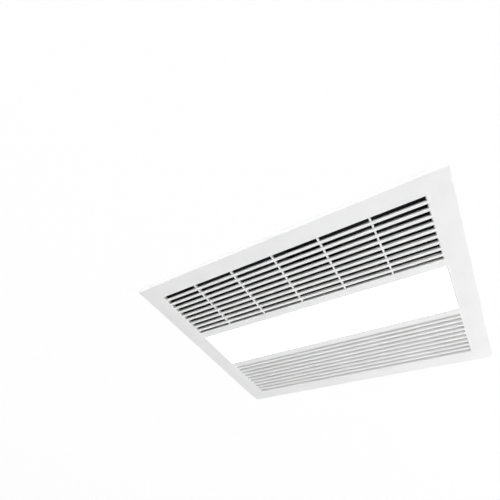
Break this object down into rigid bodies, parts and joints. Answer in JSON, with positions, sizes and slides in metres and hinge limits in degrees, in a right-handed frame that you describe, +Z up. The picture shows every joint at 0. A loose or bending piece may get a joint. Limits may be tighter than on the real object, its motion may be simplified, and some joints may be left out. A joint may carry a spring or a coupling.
{
  "type": "bathroom heater fan light",
  "caption": "Ceiling unit for a bathroom: louvred fascia with a light panel, warm-air blower and heating element, extract fan and duct spigot.",
  "frame": {"origin": "middle of the ceiling cut-out, on the underside of the ceiling, where the flange of the housing seats", "axes": "+Z up into the ceiling void, +X along the long side of the fascia towards the duct spigot, -Y towards the extract louvres, +Y towards the warm-air louvres"},
  "size_m": [0.45, 0.35, 0.175],
  "materials": {
    "fascia_white": "satin white moulding",
    "opal": "opal, lit from behind",
    "galvanised": "galvanised sheet",
    "spring_steel": "spring steel",
    "zinc": "zinc plated",
    "black_plastic": "matte black",
    "grey_plastic": "matte grey",
    "white_plastic": "matte white",
    "aluminium": "mill finish",
    "board_white": "white solder resist",
    "copper": "enamelled copper winding",
    "laminations": "stacked electrical steel",
    "frame_resin": "glass-filled resin"
  },
  "bodies": {
    "housing": {"cable_gland": "black_plastic", "drum_bearing": "black_plastic", "duct_spigot": "grey_plastic", "element_frame": "frame_resin", "end_plates": "galvanised", "fan_deck": "galvanised", "fan_motor": "zinc", "flange_frame": "galvanised", "guide_wall": "galvanised", "heater_bars": "aluminium", "heater_fins": "aluminium", "housing_lid": "galvanised", "housing_shell": "galvanised", "led_boards": "board_white", "led_driver": "white_plastic", "lid_screws": "zinc", "light_tray": "galvanised", "motor_bridges": "zinc", "motor_coil": "copper", "motor_core": "laminations", "motor_mount": "galvanised", "outlet_duct": "grey_plastic", "partition_plate": "galvanised", "run_capacitor": "white_plastic", "spigot_screws": "zinc", "terminal_block": "white_plastic", "terminal_box": "galvanised", "terminal_cover": "galvanised", "thermal_cutout": "black_plastic", "tongue": "galvanised", "volute": "black_plastic", "volute_screws": "zinc"},
    "fascia": {"fascia": "fascia_white", "diffuser": "opal", "springs_left": "spring_steel", "springs_right": "spring_steel"},
    "extract_rotor": {"impeller": "black_plastic", "fan_shaft": "zinc", "impeller_nut": "zinc"},
    "blower_rotor": {"drum": "aluminium", "drum_shaft": "zinc"},
    "damper": {"damper_flap": "white_plastic"}
  },
  "joints": [
    {"name": "fascia_drop", "type": "slide", "parent": "housing", "child": "fascia", "axis": [0, 0, -1], "range_m": [0, 0.028], "stiffness_N_per_m": 120, "springref_m": -0.12, "deforming": ["springs_left", "springs_right"]},
    {"name": "extract_spin", "type": "hinge", "parent": "housing", "child": "extract_rotor", "pos_m": [0.035, -0.082, 0.08], "axis": [0, 0, -1], "continuous": true},
    {"name": "blower_spin", "type": "hinge", "parent": "housing", "child": "blower_rotor", "pos_m": [0, 0.098, 0.082], "axis": [-1, 0, 0], "continuous": true},
    {"name": "damper_swing", "type": "hinge", "parent": "housing", "child": "damper", "pos_m": [0.214, -0.02091, 0.111], "axis": [0, -1, 0], "range_deg": [0, 80]}
  ]
}
